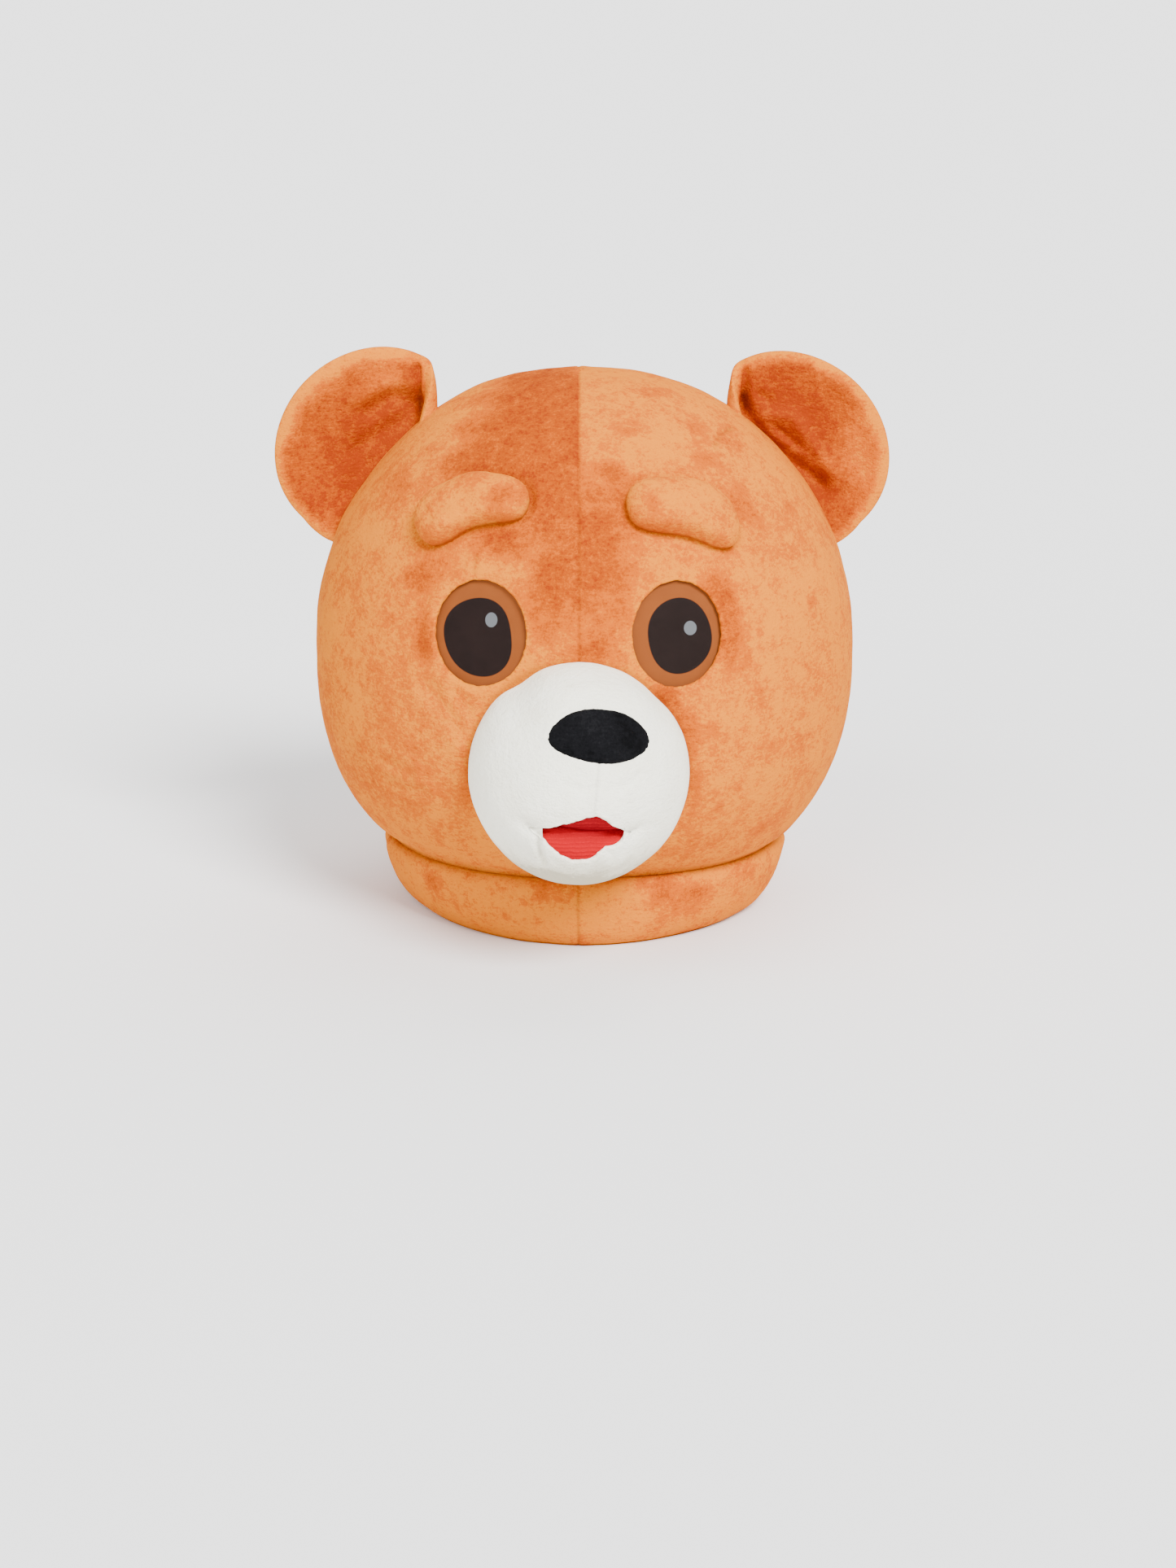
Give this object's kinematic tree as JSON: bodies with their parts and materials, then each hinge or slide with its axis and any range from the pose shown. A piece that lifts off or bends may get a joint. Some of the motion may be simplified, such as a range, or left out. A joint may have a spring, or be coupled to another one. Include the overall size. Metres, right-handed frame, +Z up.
{
  "type": "bear mask",
  "caption": "Padded plush bear head worn over the wearer's own, with folded round ears, stuffed brows and muzzle, see-through printed eyes, and a soft collar it stands on.",
  "frame": {"origin": "middle of the bounding box's footprint, on the plane the collar stands on", "axes": "+Z up through the crown; the muzzle faces -Y; +X to the wearer's left, along the line from ear to ear"},
  "size_m": [0.4396, 0.421, 0.3971],
  "materials": {
    "orange_plush": "short velour pile over foam padding",
    "white_plush": "short velour pile over stuffing",
    "black_plush": "short velour pile over padding",
    "red_plush": "ribbed velour",
    "printed_mesh": "fine woven mesh, printed with the eye, seen through from inside"
  },
  "bodies": {
    "root": {"head_shell": "orange_plush", "collar": "orange_plush", "left_ear": "orange_plush", "right_ear": "orange_plush", "left_brow": "orange_plush", "right_brow": "orange_plush", "muzzle": "white_plush", "nose_patch": "black_plush", "mouth_lining": "red_plush", "left_eye_panel": "printed_mesh", "right_eye_panel": "printed_mesh"}
  },
  "joints": []
}
